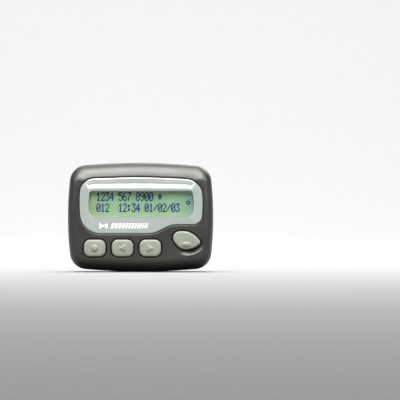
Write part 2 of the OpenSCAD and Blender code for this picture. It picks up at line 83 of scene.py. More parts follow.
def case_frame():
    """The case outline's points and outward normals.

    Four bowed edges and four corners, all tangent, and a flat foot.
    """
    side_c = np.array([CASE_W / 2 - SIDE_R, 0.0])
    top_c = np.array([0.0, CASE_H / 2 - TOP_R])
    ra, rb = SIDE_R - CORNER_R, TOP_R - CORNER_R
    d = np.linalg.norm(top_c - side_c)
    u = (top_c - side_c) / d
    s = (ra * ra - rb * rb + d * d) / (2 * d)
    corner = side_c + s * u + math.sqrt(ra * ra - s * s) * np.array([-u[1], u[0]])
    a = math.atan2(corner[1], corner[0] - side_c[0])
    b = math.atan2(corner[1] - top_c[1], corner[0])
    pi = math.pi
    foot = 2 * math.atan(FOOT / TOP_R)
    reach = TOP_R * math.sin(foot)
    cx, cy = corner
    # centre, radius, first angle, last angle and number of points; the foot has no centre
    arcs = [
        (side_c, SIDE_R, -a, a, 36), (corner, CORNER_R, a, b, 22),
        (top_c, TOP_R, b, pi - b, 56), ((-cx, cy), CORNER_R, pi - b, pi - a, 22),
        (-side_c, SIDE_R, pi - a, pi + a, 36), ((-cx, -cy), CORNER_R, pi + a, pi + b, 22),
        (-top_c, TOP_R, pi + b, 1.5 * pi - foot, 9), (None, 0, -1, 1, 37),
        (-top_c, TOP_R, 1.5 * pi + foot, 2 * pi - b, 9), ((cx, -cy), CORNER_R, 2 * pi - b, 2 * pi - a, 22),
    ]
    slope = math.tan(foot)
    points, normals = [], []
    for c, r, t0, t1, n in arcs:
        for t in np.linspace(t0, t1, n, endpoint=False):
            if c is None:
                # the foot: flat in the middle, and rising in a line to the bow on each side
                x = t * reach
                run = min(max(abs(x) - FOOT + FOOT_BLEND, 0), 2 * FOOT_BLEND)
                beyond = max(abs(x) - FOOT - FOOT_BLEND, 0)
                tilt = slope * run / (2 * FOOT_BLEND) * np.sign(x)
                points.append(np.array([x, slope * (run ** 2 / (4 * FOOT_BLEND) + beyond)]))
                normals.append(np.array([tilt, -1]) / math.hypot(tilt, 1))
                continue
            way = np.array([math.cos(t), math.sin(t)])
            points.append(np.array(c) + r * way + MID)
            normals.append(way)
    return np.array(points), np.array(normals)


RIM, RIM_N = case_frame()


def rounded(corners, steps=10):
    """A polygon of (x, y, radius) corners with each corner turned into an arc."""
    out = []
    n = len(corners)
    for i in range(n):
        b = np.array(corners[i][:2])
        u = np.array(corners[i - 1][:2]) - b
        v = np.array(corners[(i + 1) % n][:2]) - b
        u, v = u / np.linalg.norm(u), v / np.linalg.norm(v)
        half = math.acos(max(-1, min(1, float(u @ v)))) / 2
        r = corners[i][2]
        c = b + (u + v) / np.linalg.norm(u + v) * r / math.sin(half)
        t = b + u * r / math.tan(half) - c
        turn = (math.pi - 2 * half) * np.sign(-u[0] * v[1] + u[1] * v[0])
        start = math.atan2(t[1], t[0])
        for k in range(steps + 1):
            a = start + turn * k / steps
            out.append(c + r * np.array([math.cos(a), math.sin(a)]))
    return np.array(out)


def run_length(line):
    """Length along a line up to each of its points."""
    return np.concatenate([[0], np.cumsum(np.linalg.norm(np.diff(line, axis=0), axis=1))])


def evenly(line, n):
    """n points at an even spacing along a line, from its start to just short of its end."""
    at = run_length(line)
    s = np.linspace(0, at[-1], n, endpoint=False)
    return np.column_stack([np.interp(s, at, line[:, i]) for i in (0, 1)])


def resample(loop, step):
    """The closed loop at an even spacing."""
    closed = np.vstack([loop, loop[:1]])
    return evenly(closed, max(8, int(round(run_length(closed)[-1] / step))))


def loop_normals(loop):
    """Outward normals of a counter-clockwise loop."""
    t = np.roll(loop, -1, axis=0) - np.roll(loop, 1, axis=0)
    t /= np.linalg.norm(t, axis=1)[:, None]
    return np.column_stack([t[:, 1], -t[:, 0]])


def grown(loop, by):
    return loop + by * loop_normals(loop)


def circle(at, r, n):
    a = np.linspace(0, 2 * math.pi, n, endpoint=False)
    return np.array(at) + r * np.column_stack([np.cos(a), np.sin(a)])


def box_loop(x0, x1, y0, y1):
    return [(x0, y0), (x1, y0), (x1, y1), (x0, y1)]


def round_box(x0, x1, y0, y1, r, steps):
    """A rectangle with rounded corners."""
    return rounded([(x, y, r) for x, y in box_loop(x0, x1, y0, y1)], steps)


BEZEL_CORNERS = [
    (-29.3, 18.95, 10), (6.6, 18.95, 13), (15.2, 23.4, 13), (30.3, 23.4, 4.8), (30.75, 34, 50),
    (30.05, 45.3, 8.5), (0.2, 46.65, 250), (-29.35, 45.7, 7.2), (-30.05, 35, 50),
]
WINDOW_CORNERS = [
    (-24.9, 27.3, 2.8), (25.6, 27.3, 2.8), (26.7, 33.7, 12), (25.7, 40.1, 1.6),
    (-25, 40.1, 1.6), (-25.8, 33.7, 12),
]
BEZEL = rounded(BEZEL_CORNERS, 14)
WINDOW = rounded(WINDOW_CORNERS, 10)


KEY_X = (-22.5, -8.8, 4.9)     # middles of the three small keys
KEY_Y = 11.7
KEY_HALF_W, KEY_HALF_H = 5.3, 4.2


def small_key(x, y, grow=0.0, r=3.0):
    w, h = KEY_HALF_W + grow, KEY_HALF_H + grow
    return round_box(x - w, x + w, y - h, y + h, r + grow, 10)


# The large key's outline: a rounded leaf, blunt at the left and narrow at the right.
LEAF = [
    (16.15, 17.4), (16.25, 15.9), (17.25, 14.05), (19.15, 12.1), (21.0, 11.2), (22.9, 11.0), (24.95, 11.4),
    (26.95, 12.1), (28.55, 13.1), (29.45, 14.1), (29.5, 15.1), (28.85, 16.0), (27.1, 17.85), (23.8, 19.7),
    (20.75, 20.1), (18.5, 19.9), (16.9, 18.95),
]
LEAF_C = np.array([22.6, 15.7])


def spline(p, steps=8):
    """Closed smooth curve through the points."""
    p = np.array(p, float)
    a, b, c, d = np.roll(p, 1, 0), p, np.roll(p, -1, 0), np.roll(p, -2, 0)
    out = []
    for i in range(len(p)):
        for k in range(steps):
            t = k / steps
            out.append(0.5 * (2 * b[i] + (c[i] - a[i]) * t + (2 * a[i] - 5 * b[i] + 4 * c[i] - d[i]) * t * t
                              + (3 * b[i] - a[i] - 3 * c[i] + d[i]) * t ** 3))
    return np.array(out)


LEAF_LOOP = spline(LEAF)

# ---------------- measuring


def edge_distance(p, loop):
    """Distance of each point to the loop, and the loop edge that it is nearest to."""
    a = loop
    d = np.roll(loop, -1, axis=0) - a
    ll = (d * d).sum(1)
    best = np.full(len(p), 1e9)
    which = np.zeros(len(p), int)
    for i in range(len(loop)):
        if ll[i] < 1e-12:
            continue
        t = np.clip(((p - a[i]) @ d[i]) / ll[i], 0, 1)
        q = np.linalg.norm(p - (a[i] + t[:, None] * d[i]), axis=1)
        near = q < best
        best[near] = q[near]
        which[near] = i
    return best, which


def inside(p, loop):
    x, y = p[:, 0], p[:, 1]
    odd = np.zeros(len(p), bool)
    b = np.roll(loop, -1, axis=0)
    for (x0, y0), (x1, y1) in zip(loop, b):
        if y0 == y1:
            continue
        cross = ((y0 > y) != (y1 > y)) & (x < (x1 - x0) * (y - y0) / (y1 - y0) + x0)
        odd ^= cross
    return odd


def depth_in(p, loop):
    """Positive inside the loop, negative outside."""
    d, _ = edge_distance(p, loop)
    return np.where(inside(p, loop), d, -d)


def smooth(t):
    t = np.clip(t, 0, 1)
    return t * t * (3 - 2 * t)


# ---------------- mesh making


class Mesh:
    """Collects points and faces; points are in the case frame."""

    def __init__(self):
        self.v, self.f, self.m = [], [], []

    def points(self, pts):
        start = len(self.v)
        self.v.extend([tuple(map(float, p)) for p in pts])
        return list(range(start, len(self.v)))

    def ring(self, loop, z):
        """The loop's points at the height z, or each at its own height."""
        z = np.broadcast_to(z, (len(loop),))
        return self.points([(p[0], p[1], h) for p, h in zip(loop, z)])

    def face(self, ids, mat=0):
        self.f.append(tuple(ids))
        self.m.append(mat)

    def bridge(self, a, b, mat=0):
        n = len(a)
        for i in range(n):
            j = (i + 1) % n
            self.face((a[i], a[j], b[j], b[i]), mat)

    def loft(self, rings):
        for a, b in zip(rings, rings[1:]):
            self.bridge(a, b)

    def prism(self, loop, z0, z1):
        """A closed upright solid."""
        a, b = self.ring(loop, z0), self.ring(loop, z1)
        self.bridge(a, b)
        self.face(a)
        self.face(b)

    def make(self, name, materials, sharp=35):
        me = bpy.data.meshes.new(name)
        me.from_pydata([world(p) for p in self.v], [], self.f)
        me.polygons.foreach_set("material_index", self.m)
        bm = bmesh.new()
        bm.from_mesh(me)
        bmesh.ops.recalc_face_normals(bm, faces=bm.faces)
        bm.to_mesh(me)
        bm.free()
        me.shade_smooth()
        if sharp:
            me.set_sharp_from_angle(angle=math.radians(sharp))
        o = bpy.data.objects.new(name, me)
        bpy.context.scene.collection.objects.link(o)
        for m in materials:
            me.materials.append(m)
        return o


SLIVER = 0.004     # triangles along the outer edge that are lower than this are left out


def triangulate(outer, holes, extra):
    """Triangles of the region inside outer and outside the holes.

    Points keep the order outer, holes, extra.
    """
    pts = np.vstack([outer, *holes, extra])
    edges, at = [], 0
    for loop in [outer, *holes]:
        n = len(loop)
        edges += [(at + i, at + (i + 1) % n) for i in range(n)]
        at += n
    _, _, faces, origin, _, _ = delaunay_2d_cdt([Vector(p) for p in pts], edges, [], 0, 1e-6)
    back = [o[0] if o else -1 for o in origin]
    tris = np.array([[back[i] for i in f] for f in faces if len(f) == 3])
    tris = tris[(tris >= 0).all(1)]
    mid = pts[tris].mean(1)
    keep = inside(mid, outer)
    # slivers between points that lie in line along the outer edge
    a, b, c = (pts[tris[:, k]] for k in range(3))
    area = np.abs((b - a)[:, 0] * (c - a)[:, 1] - (b - a)[:, 1] * (c - a)[:, 0])
    longest = np.max([np.linalg.norm(q - p, axis=1) for p, q in ((a, b), (b, c), (c, a))], axis=0)
    keep &= ~((area < SLIVER * longest) & (tris < len(outer)).all(1))
    for h in holes:
        keep &= ~inside(mid, h)
    return pts, tris[keep]


def grid_points(outer, holes, step, margin=0.5):
    lo, hi = outer.min(0), outer.max(0)
    rows = []
    y, k = lo[1], 0
    while y < hi[1]:
        x = np.arange(lo[0] + (step / 2 if k % 2 else 0), hi[0], step)
        rows.append(np.column_stack([x, np.full(len(x), y)]))
        y += step * 0.87
        k += 1
    p = np.vstack(rows)
    keep = inside(p, outer) & (edge_distance(p, outer)[0] > margin * step)
    for h in holes:
        keep &= ~inside(p, h) & (edge_distance(p, h)[0] > margin * step)
    return p[keep]


def patch(mesh, outer_ids, hole_ids, outer, holes, extra, height, mat=0):
    """Fills a region between existing points with a triangulated sheet."""
    _, tris = triangulate(outer, holes, extra)
    ids = list(outer_ids)
    for h in hole_ids:
        ids += list(h)
    if len(extra):
        ids += mesh.ring(extra, height(extra))
    for t in tris:
        mesh.face([ids[i] for i in t], mat)


def rim_rings(mesh, rows):
    """Rings of points set in from the case outline, one for each (inset, z)."""
    return [mesh.ring(RIM - inset * RIM_N, z) for inset, z in rows]


# ---------------- materials


def new_material(name, color, rough=0.5, metal=0.0, **sockets):
    """A material, its node tree and its shader."""
    m = bpy.data.materials.new(name)
    m.use_nodes = True
    nt = m.node_tree
    b = nt.nodes["Principled BSDF"]
    b.inputs["Base Color"].default_value = (*color, 1)
    b.inputs["Roughness"].default_value = rough
    b.inputs["Metallic"].default_value = metal
    for k, v in sockets.items():
        b.inputs[k.replace("_", " ")].default_value = v
    return m, nt, b


def coords(nt):
    return nt.nodes.new("ShaderNodeTexCoord").outputs["Object"]


def noise(nt, scale, detail=2.0, rough=0.5, stretch=None):
    out = coords(nt)
    if stretch:
        mp = nt.nodes.new("ShaderNodeMapping")
        mp.inputs["Scale"].default_value = stretch
        nt.links.new(out, mp.inputs["Vector"])
        out = mp.outputs["Vector"]
    n = nt.nodes.new("ShaderNodeTexNoise")
    n.inputs["Scale"].default_value = scale
    n.inputs["Detail"].default_value = detail
    n.inputs["Roughness"].default_value = rough
    nt.links.new(out, n.inputs["Vector"])
    return n.outputs["Fac"]


def along(nt, axis, lo, hi):
    """Rises from 0 to 1 along an axis of the piece, between two places in mm."""
    split = nt.nodes.new("ShaderNodeSeparateXYZ")
    nt.links.new(coords(nt), split.inputs["Vector"])
    span = nt.nodes.new("ShaderNodeMapRange")
    span.inputs["From Min"].default_value = lo * MM
    span.inputs["From Max"].default_value = hi * MM
    nt.links.new(split.outputs[axis], span.inputs["Value"])
    return span.outputs["Result"]


def ramp(nt, source, stops):
    """Colours along a value; a stop is a place and a colour, or a place and a grey."""
    r = nt.nodes.new("ShaderNodeValToRGB")
    e = r.color_ramp.elements
    while len(e) < len(stops):
        e.new(0.5)
    for el, (pos, col) in zip(e, stops):
        el.position = pos
        el.color = (*col, 1) if np.ndim(col) else (col, col, col, 1)
    nt.links.new(source, r.inputs["Fac"])
    return r.outputs["Color"]


def product(nt, out, *others):
    """Colours multiplied together."""
    for other in others:
        mix = nt.nodes.new("ShaderNodeMix")
        mix.data_type = "RGBA"
        mix.blend_type = "MULTIPLY"
        mix.inputs["Factor"].default_value = 1.0
        nt.links.new(out, mix.inputs["A"])
        nt.links.new(other, mix.inputs["B"])
        out = mix.outputs["Result"]
    return out


def bump(nt, layers, bsdf):
    """Chained bump maps: (height output, distance in mm, strength)."""
    last = None
    for height, dist, strength in layers:
        b = nt.nodes.new("ShaderNodeBump")
        b.inputs["Distance"].default_value = dist * MM
        b.inputs["Strength"].default_value = strength
        nt.links.new(height, b.inputs["Height"])
        if last:
            nt.links.new(last.outputs["Normal"], b.inputs["Normal"])
        last = b
    nt.links.new(last.outputs["Normal"], bsdf.inputs["Normal"])


def grained(name, color, rough=0.5, grain=5200, depth=0.02, spread=0.12, rough_spread=0.08,
            strength=0.5, **sockets):
    """Moulded plastic: fine spark-eroded grain, slight colour drift, rubbed patches."""
    m, nt, b = new_material(name, color, rough, **sockets)
    fine = noise(nt, grain, 2.0, 0.6)
    mid = noise(nt, grain * 0.33, 3.0, 0.55)
    peel = noise(nt, grain * 0.26, 2.0, 0.6)
    wide = noise(nt, 90, 4.0, 0.6)
    bump(nt, [(fine, depth, strength), (mid, depth * 3.0, min(1, strength * 1.4)),
              (peel, depth * 2.4, strength * 0.7)], b)
    lo = [c * (1 - spread) for c in color]
    hi = [c * (1 + spread) for c in color]
    drift = ramp(nt, wide, [(0.3, lo), (0.7, hi)])
    speck = ramp(nt, fine, [(0.35, 1 - spread), (0.65, 1 + spread)])
    nt.links.new(product(nt, drift, speck), b.inputs["Base Color"])
    rub = ramp(nt, wide, [(0.3, rough - rough_spread), (0.7, rough + rough_spread)])
    nt.links.new(rub, b.inputs["Roughness"])
    return m


def brushed(name, color, rough=0.3, stretch=(1, 40, 40), scale=900):
    """Metal with fine streaks."""
    m, nt, b = new_material(name, color, rough, 1.0)
    streak = noise(nt, scale, 3.0, 0.6, stretch)
    tone = ramp(nt, streak, [(0.3, [c * 0.82 for c in color]), (0.7, [min(1, c * 1.1) for c in color])])
    nt.links.new(tone, b.inputs["Base Color"])
    nt.links.new(ramp(nt, streak, [(0.3, rough * 0.75), (0.7, rough * 1.35)]), b.inputs["Roughness"])
    bump(nt, [(streak, 0.01, 0.3)], b)
    return m


def clear(name, color, rough, least, most, **sockets):
    """Clear plastic or glass, with a faint haze between two roughnesses."""
    m, nt, b = new_material(name, color, rough, **sockets)
    nt.links.new(ramp(nt, noise(nt, 400), [(0.3, least), (0.7, most)]), b.inputs["Roughness"])
    return m


M = {
    "front": grained("front_plastic", (0.0088, 0.0081, 0.0076), 0.37, depth=0.04, strength=0.6),
    "rear": grained("rear_plastic", (0.0150, 0.0145, 0.0138), 0.42, depth=0.04, strength=0.6),
    "key": grained("key_rubber", (0.110, 0.116, 0.099), 0.5, 3800, 0.012, 0.05, 0.05, 0.35),
    # painted shade: black for the key holes' walls and the hidden lower part of the keys, which are really
    # the same plastic as the case and the keys
    "key_hollow_painted_shade": grained("key_hollow_painted_shade", (0.004, 0.004, 0.004), 0.8, 3800, 0.012, 0.05, 0.05,
                        Specular_IOR_Level=0.1),
    "clip": grained("clip_acetal", (0.022, 0.022, 0.022), 0.42, 4200, 0.02, 0.1, 0.08, 0.45),
}


def bezel_material():
    """Silver lacquer under gloss: a fine metal flake, and faint polishing drift."""
    m, nt, b = new_material("bezel_silver", (0.265, 0.29, 0.28), 0.14, 0.45,
                            Coat_Weight=0.6, Coat_Roughness=0.03)
    flake = noise(nt, 9000, 1.0)
    drift = noise(nt, 60, 3.0)
    tone = ramp(nt, drift, [(0.3, (0.250, 0.277, 0.266)), (0.7, (0.278, 0.302, 0.292))])
    spark = ramp(nt, flake, [(0.35, 0.93), (0.65, 1.07)])
    nt.links.new(product(nt, tone, spark), b.inputs["Base Color"])
    nt.links.new(ramp(nt, flake, [(0.3, 0.11), (0.7, 0.17)]), b.inputs["Roughness"])
    return m


M["bezel"] = bezel_material()

# ---------------- front housing

SHEET_INSET = 4.4      # how far in from the outline the face's sheet starts
RISE = 7.0             # how far the rounded front edge drops at the outline
INNER_TURN = 10.0      # z where the inside of the side wall starts to round over
TOP_ROUND, SIDE_ROUND, FOOT_ROUND = 10.6, 4.8, 6.4     # width of the rounded front edge
WELL_GAP = 0.6         # from a key to the edge of its hole
WELL_LIP, SEAT_LIP = 0.34, 0.42                        # radius of the holes' rounded lips
LIP_LINES = (0.02, 0.07, 0.14, 0.22, 0.31, 0.42, 0.55)
LIP_CLEAR = 0.68       # the grid of points over the face begins this far out
SCOOP_DEEP, SCOOP_WIDE = 1.5, 2.6


def edge_width(n):
    up = np.maximum(n[:, 1], 0) ** 2
    down = np.maximum(-n[:, 1], 0) ** 2
    return SIDE_ROUND + (TOP_ROUND - SIDE_ROUND) * up + (FOOT_ROUND - SIDE_ROUND) * down


RIM_W = edge_width(RIM_N)


def face_height(d, width, p):
    """Height of the front face d inside the outline.

    A rounded edge runs into a slightly crowned face.
    """
    t = np.clip(1 - d / width, 0, 1)
    drop = RISE * (1 - np.sqrt(np.maximum(1 - t ** 2.15, 0)) ** (1 / 1.05))
    crown = 0.18 * (p[:, 0] / 36) ** 2 + 0.15 * ((p[:, 1] - 27) / 27) ** 2
    return FACE - drop - crown


READ_WELL = resample(grown(resample(LEAF_LOOP, 0.3), WELL_GAP), 0.45)
KEY_WELLS = [resample(small_key(x, KEY_Y, WELL_GAP, 3.1), 0.45) for x in KEY_X]
SEAT = resample(BEZEL, 0.6)
RECESS = resample(SEAT + (0.42 + 0.16 * smooth((SEAT[:, 1:] - 28) / 12)) * loop_normals(SEAT), 0.6)
THROUGH = resample(grown(resample(WINDOW, 0.6), 0.7), 0.7)


def rim_fall(e, r):
    """Rounded lip of a hole: how far the face has dropped e away from the hole's edge."""
    t = np.clip(1 - e / r, 0, 1)
    return r * (1 - np.sqrt(1 - t * t))


def scoop(p):
    """The thumb's hollow along the large key's lower right side."""
    e = -depth_in(p, READ_WELL)
    way = p - LEAF_C
    a = np.degrees(np.arctan2(way[:, 1], way[:, 0]))
    lobe = smooth(1 - np.abs(a + 62) / 74)
    return SCOOP_DEEP * lobe * smooth(1 - np.maximum(e, 0) / SCOOP_WIDE)


def face_z(p):
    d, i = edge_distance(p, RIM)
    z = face_height(d, RIM_W[i], p) - scoop(p)
    for hole, r in [(READ_WELL, WELL_LIP), (RECESS, SEAT_LIP)] + [(k, WELL_LIP) for k in KEY_WELLS]:
        e, _ = edge_distance(p, hole)
        z -= rim_fall(e, r)
    return z


def front_housing():
    s = Mesh()
    outer = rim_rings(s, [(0.16, SPLIT), (0.03, SPLIT + 0.1), (0.0, SPLIT + 0.3), (0.0, SPLIT + 0.9)])
    for k in range(17):
        d = SHEET_INSET * (k / 16) ** 1.7
        p = RIM - d * RIM_N
        outer.append(s.ring(p, face_height(d, RIM_W, p)))
    s.loft(outer)
    edge = RIM - SHEET_INSET * RIM_N
    holes = [RECESS, *KEY_WELLS, READ_WELL]
    ids = [s.ring(h, face_z(h)) for h in holes]
    # lines of points close to each lip, so that the lip comes out round
    lips = [grown(h, off) for h in holes for off in LIP_LINES]
    # coarse points over the face, and fine ones round the large key
    coarse = grid_points(edge, [grown(h, LIP_CLEAR) for h in holes], 0.8)
    coarse = coarse[(edge_distance(coarse, READ_WELL)[0] > 3.5) | inside(coarse, READ_WELL)]
    fine = grid_points(grown(READ_WELL, 3.4), [grown(READ_WELL, LIP_CLEAR)], 0.35)
    fine = fine[inside(fine, edge) & ~inside(fine, grown(RECESS, LIP_CLEAR))]
    extra = np.vstack([coarse, *lips, fine])
    patch(s, outer[-1], ids, edge, holes, extra[inside(extra, edge)], face_z)
    # inside of the shell
    rows = []
    for k in range(9):
        a = math.pi / 2 * k / 8
        inset = SHEET_INSET - (SHEET_INSET - WALL) * math.sin(a)
        rows.append((inset, INNER_TURN + (CEILING - INNER_TURN) * math.cos(a)))
    inner = rim_rings(s, rows + [(WALL, SPLIT)])
    s.loft([*inner, outer[0]])
    # bezel seat, with the window's opening through it
    seat = s.ring(RECESS, SEAT_Z)
    s.bridge(ids[0], seat)
    through_top = s.ring(THROUGH, SEAT_Z)
    through_low = s.ring(THROUGH, CEILING)
    patch(s, seat, [through_top], RECESS, [THROUGH], NO_POINTS, None)
    s.bridge(through_top, through_low)
    low = [through_low]
    for top, h in zip(ids[1:], holes[1:]):
        low.append(s.ring(h, CEILING))
        # the key holes' walls get the black painted-shade material, so that the gaps round the keys read
        # dark
        s.bridge(top, low[-1], 1)
    patch(s, inner[0], low, edge, [THROUGH, *holes[1:]], NO_POINTS, None)
    return s.make("case_front", [M["front"], M["key_hollow_painted_shade"]])


case_front = front_housing()
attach(case_front, "case")
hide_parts("front_housing")

# ---------------- bezel

BEZEL_LIFT = 17.85     # z of the bezel's outer edge
BEZEL_LOW = 17.03      # z of its underside
ANCHORS = [
    # a place on the bezel's outline and the place on the window's edge that it faces
    ((-26.6, 21.9), (-24.1, 28.0)), ((-19.0, 18.95), (-19.5, 27.3)), ((6.6, 19.2), (7.5, 27.3)),
    ((15.2, 23.2), (15.5, 27.3)), ((25.5, 23.4), (22.8, 27.3)), ((29.4, 24.8), (25.2, 28.2)),
    ((31.0, 34.0), (26.6, 33.7)), ((28.3, 43.1), (25.3, 39.7)), ((22.0, 45.7), (22.0, 40.1)),
    ((0.2, 46.6), (0.2, 40.1)), ((-22.5, 46.0), (-22.5, 40.1)), ((-27.9, 44.2), (-24.6, 39.7)),
    ((-30.3, 35.0), (-25.7, 33.7)),
]


def sections(loop, marks):
    """Cuts a closed loop at the places nearest to the marks."""
    at = [int(np.argmin(np.linalg.norm(loop - np.array(m), axis=1))) for m in marks]
    out = []
    for a, b in zip(at, at[1:] + at[:1]):
        idx = list(range(a, b + 1)) if b > a else list(range(a, len(loop))) + list(range(0, b + 1))
        out.append(loop[idx])
    return out


def facing_loops():
    """The bezel's outline and the window's edge, with as many points in each, in facing pairs."""
    a = sections(resample(BEZEL, 0.05), [m[0] for m in ANCHORS])
    b = sections(resample(WINDOW, 0.05), [m[1] for m in ANCHORS])
    outer, inner = [], []
    for la, lb in zip(a, b):
        n = max(10, int(max(run_length(la)[-1], run_length(lb)[-1]) / 0.42))
        outer.append(evenly(la, n))
        inner.append(evenly(lb, n))
    return np.vstack(outer), np.vstack(inner)


# Height over the outer edge, against the fraction of the way in to the window.
TOP_PROFILE = ([0, 0.015, 0.03, 0.06, 0.10, 0.22, 0.25, 0.28, 0.45, 0.47, 0.80, 0.82, 0.96, 1],
               [0, 0.07, 0.12, 0.155, 0.19, 0.215, 0.25, 0.265, 0.265, 0.285, 0.785, 0.80, 0.80, 0.79])
SIDE_PROFILE = ([0, 0.02, 0.05, 0.16, 0.19, 0.22, 0.5, 0.88, 0.96, 1],
                [0, 0.10, 0.16, 0.23, 0.28, 0.31, 0.55, 0.80, 0.80, 0.78])
FOOT_PROFILE = ([0, 0.015, 0.04, 0.08, 0.14, 0.5, 0.90, 0.97, 1],
                [0, 0.10, 0.20, 0.27, 0.33, 0.58, 0.80, 0.80, 0.78])


def bezel():
    s = Mesh()
    outer, inner = facing_loops()
    way = inner - outer
    width = np.linalg.norm(way, axis=1)
    # which part of the frame each line across it is in
    top = (inner[:, 1] > 39.9) & (outer[:, 1] > 44.3)
    foot = inner[:, 1] < 27.6
    ts = np.unique(np.concatenate([np.linspace(0, 1, 34), TOP_PROFILE[0], SIDE_PROFILE[0], FOOT_PROFILE[0]]))
    ts = ts[np.concatenate([[True], np.diff(ts) > 0.004])]
    rings = [s.ring(outer, BEZEL_LOW)]
    for t in ts:
        h = np.where(foot, np.interp(t, *FOOT_PROFILE), np.interp(t, *SIDE_PROFILE))
        h = np.where(top, np.interp(t, *TOP_PROFILE), h)
        rings.append(s.ring(outer + way * t, BEZEL_LIFT + h))
    # the inner edge rolls a little way over the window
    nose = way / width[:, None] * np.where(foot, 0.15, 1.0)[:, None]
    for over, z in ((0.10, BEZEL_LIFT + 0.70), (0.15, BEZEL_LIFT + 0.55), (0.15, BEZEL_LOW)):
        rings.append(s.ring(inner + nose * over, z))
    s.loft([*rings, rings[0]])
    return s.make("bezel_frame", [M["bezel"]], sharp=50)


bezel_piece = bezel()
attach(bezel_piece, "case")
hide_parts("bezel")

# ---------------- keys

KEY_TOP = 18.95
KEY_CROWN = 0.25                 # how much lower a key's top is at its ends
KEY_ROLL, KEY_FALL = 1.15, 0.62  # width and drop of a key's rounded top edge
KEY_LOW = 16.9                   # z where a key's side gives way to its root, which is painted black as shade
FLANGE_Z, FLANGE_OUT = (15.5, 16.3), 0.55
STEM_R, STEM_Z = 1.8, 15.0


def key_piece(name, loop, stem, symbol):
    """A key cap: rounded top edge, soft crown, moulded symbol, retaining flange and stem."""
    s = Mesh()
    loop = resample(loop, 0.3)
    centre = loop.mean(0)
    reach = np.abs(loop - centre).max()

    def height(p):
        e = np.maximum(depth_in(p, loop), 0)
        t = np.clip(1 - e / KEY_ROLL, 0, 1)
        z = KEY_TOP - KEY_FALL * (1 - np.sqrt(np.maximum(1 - t ** 2.3, 0)))
        z -= KEY_CROWN * (np.linalg.norm(p - centre, axis=1) / reach) ** 2
        return z + symbol(p)

    rim = s.ring(loop, height(loop))
    extra = np.vstack([grown(loop, -off) for off in (0.04, 0.12, 0.25, 0.42, 0.62, 0.85, 1.1)]
                      + [grid_points(grown(loop, -1.2), [], 0.16)])
    patch(s, rim, [], loop, [], extra[inside(extra, loop)], height)
    side = s.ring(loop, KEY_LOW)
    root = s.ring(loop, FLANGE_Z[1])
    s.bridge(rim, side)
    # below KEY_LOW the side, the flange and the stem are painted black as shade, so that the gap round the
    # key reads dark
    s.bridge(side, root, 1)
    wide = grown(loop, FLANGE_OUT)
    upper = s.ring(wide, FLANGE_Z[1])
    lower = s.ring(wide, FLANGE_Z[0])
    s.bridge(root, upper, 1)
    s.bridge(upper, lower, 1)
    round_stem = circle(stem, STEM_R, 40)
    neck = s.ring(round_stem, FLANGE_Z[0])
    foot = s.ring(round_stem, STEM_Z)
    patch(s, lower, [neck], wide, [round_stem], NO_POINTS, None, 1)
    s.bridge(neck, foot, 1)
    s.face(foot, 1)
    return s.make(name, [M["key"], M["key_hollow_painted_shade"]], sharp=48)


def dome(at, rx, ry, rise):
    """A raised lens, steepest at its edge."""
    def f(p):
        q = ((p - np.array(at)) / np.array([rx, ry])) ** 2
        return rise * np.sqrt(np.clip(1 - q.sum(1), 0, 1))
    return f


def ridge(corners, rise=0.38, soft=0.5):
    """A raised polygon whose sides slope up to a ridge."""
    loop = rounded(corners, 6)

    def f(p):
        return rise * np.sqrt(np.clip((depth_in(p, loop) + 0.05) / soft, 0, 1))
    return f


def arrow(x, y, turn):
    """An arrowhead that points right when turn is 1, and left when it is -1."""
    back = x - 1.6 * turn
    return [(x + 1.95 * turn, y - 0.1, 0.12), (back, y + 1.75 * turn, 0.12), (back, y - 1.95 * turn, 0.12)]


SELECT, LEFT, RIGHT = [(x, KEY_Y) for x in KEY_X]
KEYS = [
    ("key_select_cap", "key_select", "key_select_body", small_key(*SELECT), SELECT,
     dome(SELECT, 1.75, 1.75, 0.55)),
    ("key_left_cap", "key_left", "key_left_body", small_key(*LEFT), LEFT, ridge(arrow(*LEFT, -1))),
    ("key_right_cap", "key_right", "key_right_body", small_key(*RIGHT), RIGHT, ridge(arrow(*RIGHT, 1))),
    ("key_read_cap", "key_read", "key_read_body", LEAF_LOOP, (22.4, 15.6),
     dome((22.7, 13.5), 2.35, 1.3, 0.48)),
]
for name, node, body, loop, stem, symbol in KEYS:
    o = key_piece(name, loop, stem, symbol)
    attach(o, body)
    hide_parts(node)

# ---------------- display

LCD_Z = 15.26


def lcd_material():
    """The unlit display: pale green, darker in the middle, and faintly uneven. Its top is painted lighter:
    painted light that offsets the shade the window's frame casts there.
    """
    m, nt, b = new_material("lcd_glass", (0.28, 0.52, 0.27), 0.6, Specular_IOR_Level=0.1)
    # the last stop, at the top of the display, is painted light that lifts the shade cast by the window's
    # frame
    body = ramp(nt, along(nt, "Z", 26.5, 40.5), [
        (0.0, (0.175, 0.262, 0.150)), (0.35, (0.128, 0.215, 0.124)),
        (0.7, (0.150, 0.250, 0.150)), (1.0, (0.36, 0.60, 0.36))])
    side = ramp(nt, along(nt, "X", -26, 27), [
        (0.0, (1.22, 1.02, 0.98)), (0.16, 1.0), (0.75, 1.0), (1.0, (0.98, 0.98, 1.32))])
    cloud = noise(nt, 110, 3.0, 0.5, (1, 1, 1.6))
    mottle = ramp(nt, cloud, [(0.35, (0.93, 0.95, 0.97)), (0.65, (1.07, 1.05, 1.03))])
    nt.links.new(product(nt, body, side, mottle), b.inputs["Base Color"])
    return m


M["lcd"] = lcd_material()
M["ink"] = grained("lcd_ink", (0.0025, 0.0025, 0.085), 0.7, 6000, 0.005, 0.1, 0.05, Specular_IOR_Level=0.05)

